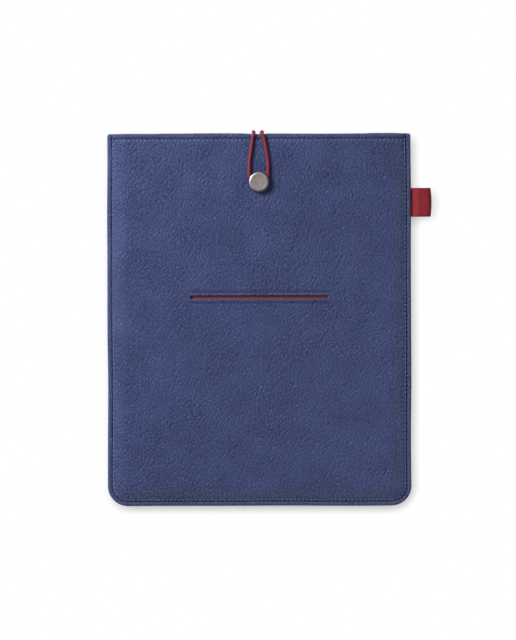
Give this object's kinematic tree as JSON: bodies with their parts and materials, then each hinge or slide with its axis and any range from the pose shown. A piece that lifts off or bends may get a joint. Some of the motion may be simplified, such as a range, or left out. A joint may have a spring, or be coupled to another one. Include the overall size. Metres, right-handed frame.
{
  "type": "tablet sleeve",
  "caption": "Padded leather tablet sleeve with an elastic loop hooked on a round button, a stitched slot pocket and a side pen loop.",
  "frame": {"origin": "middle of the flat back face that the sleeve lies on", "axes": "+X across the width towards the pen loop, +Y along the length towards the mouth, +Z through the thickness towards the front with the button"},
  "size_m": [0.2345, 0.2722, 0.0201],
  "materials": {
    "leather": "navy pebble-grain leather with a soft sheen",
    "foam": "dark grey open foam",
    "lining": "red woven lining cloth",
    "thread": "dark navy sewing thread",
    "ribbon": "red woven elastic ribbon",
    "cord": "red braided round elastic",
    "nickel": "satin antique nickel",
    "brass": "plain stamped brass",
    "steel": "plain steel"
  },
  "bodies": {
    "sleeve": {"back_panel": "leather", "front_panel": "leather", "back_padding": "foam", "front_padding": "foam", "back_lining": "lining", "front_lining": "lining", "pocket_front_ply": "lining", "pocket_back_ply": "lining", "pocket_thread": "thread", "slot_thread": "thread", "seam_thread_front": "thread", "seam_thread_back": "thread", "mouth_thread_front": "thread", "mouth_thread_back": "thread", "pen_loop_root": "ribbon", "cord_tails": "cord", "cord_tack": "thread", "button_collar": "nickel", "tack_pin": "steel", "tack_washer": "steel"},
    "cord_riser": {"cord_riser": "cord"},
    "cord_loop": {"cord_strands": "cord"},
    "cord_bight": {"cord_bight": "cord"},
    "button": {"button_cap": "nickel", "button_base": "brass"},
    "pen_loop": {"pen_loop": "ribbon"}
  },
  "joints": [
    {"name": "loop_open", "type": "hinge", "parent": "sleeve", "child": "cord_riser", "pos_m": [-0.00085, 0.136, 0.0022], "axis": [-1, 0, 0], "range_deg": [0, 90], "deforming": ["cord_bight"]},
    {"name": "loop_unbend", "type": "hinge", "parent": "cord_riser", "child": "cord_loop", "pos_m": [-0.00075, 0.136, 0.01665], "axis": [-1, 0, 0], "range_deg": [0, 90]},
    {"name": "loop_stretch", "type": "slide", "parent": "cord_loop", "child": "cord_bight", "axis": [0, -1, 0], "range_m": [0, 0.009], "stiffness_N_per_m": 40, "deforming": ["cord_strands"]},
    {"name": "pen_loop_bend", "type": "hinge", "parent": "sleeve", "child": "pen_loop", "pos_m": [0.11105, 0.085, 0.0076], "axis": [0, 1, 0], "range_deg": [-60, 60], "stiffness_Nm_per_rad": 0.003},
    {"name": "button_turn", "type": "hinge", "parent": "sleeve", "child": "button", "pos_m": [0, 0.0995, 0.0181], "axis": [0, 0, 1], "continuous": true}
  ],
  "couplings": [
    {"joint": "loop_unbend", "follows": "loop_open", "ratio": 1}
  ]
}
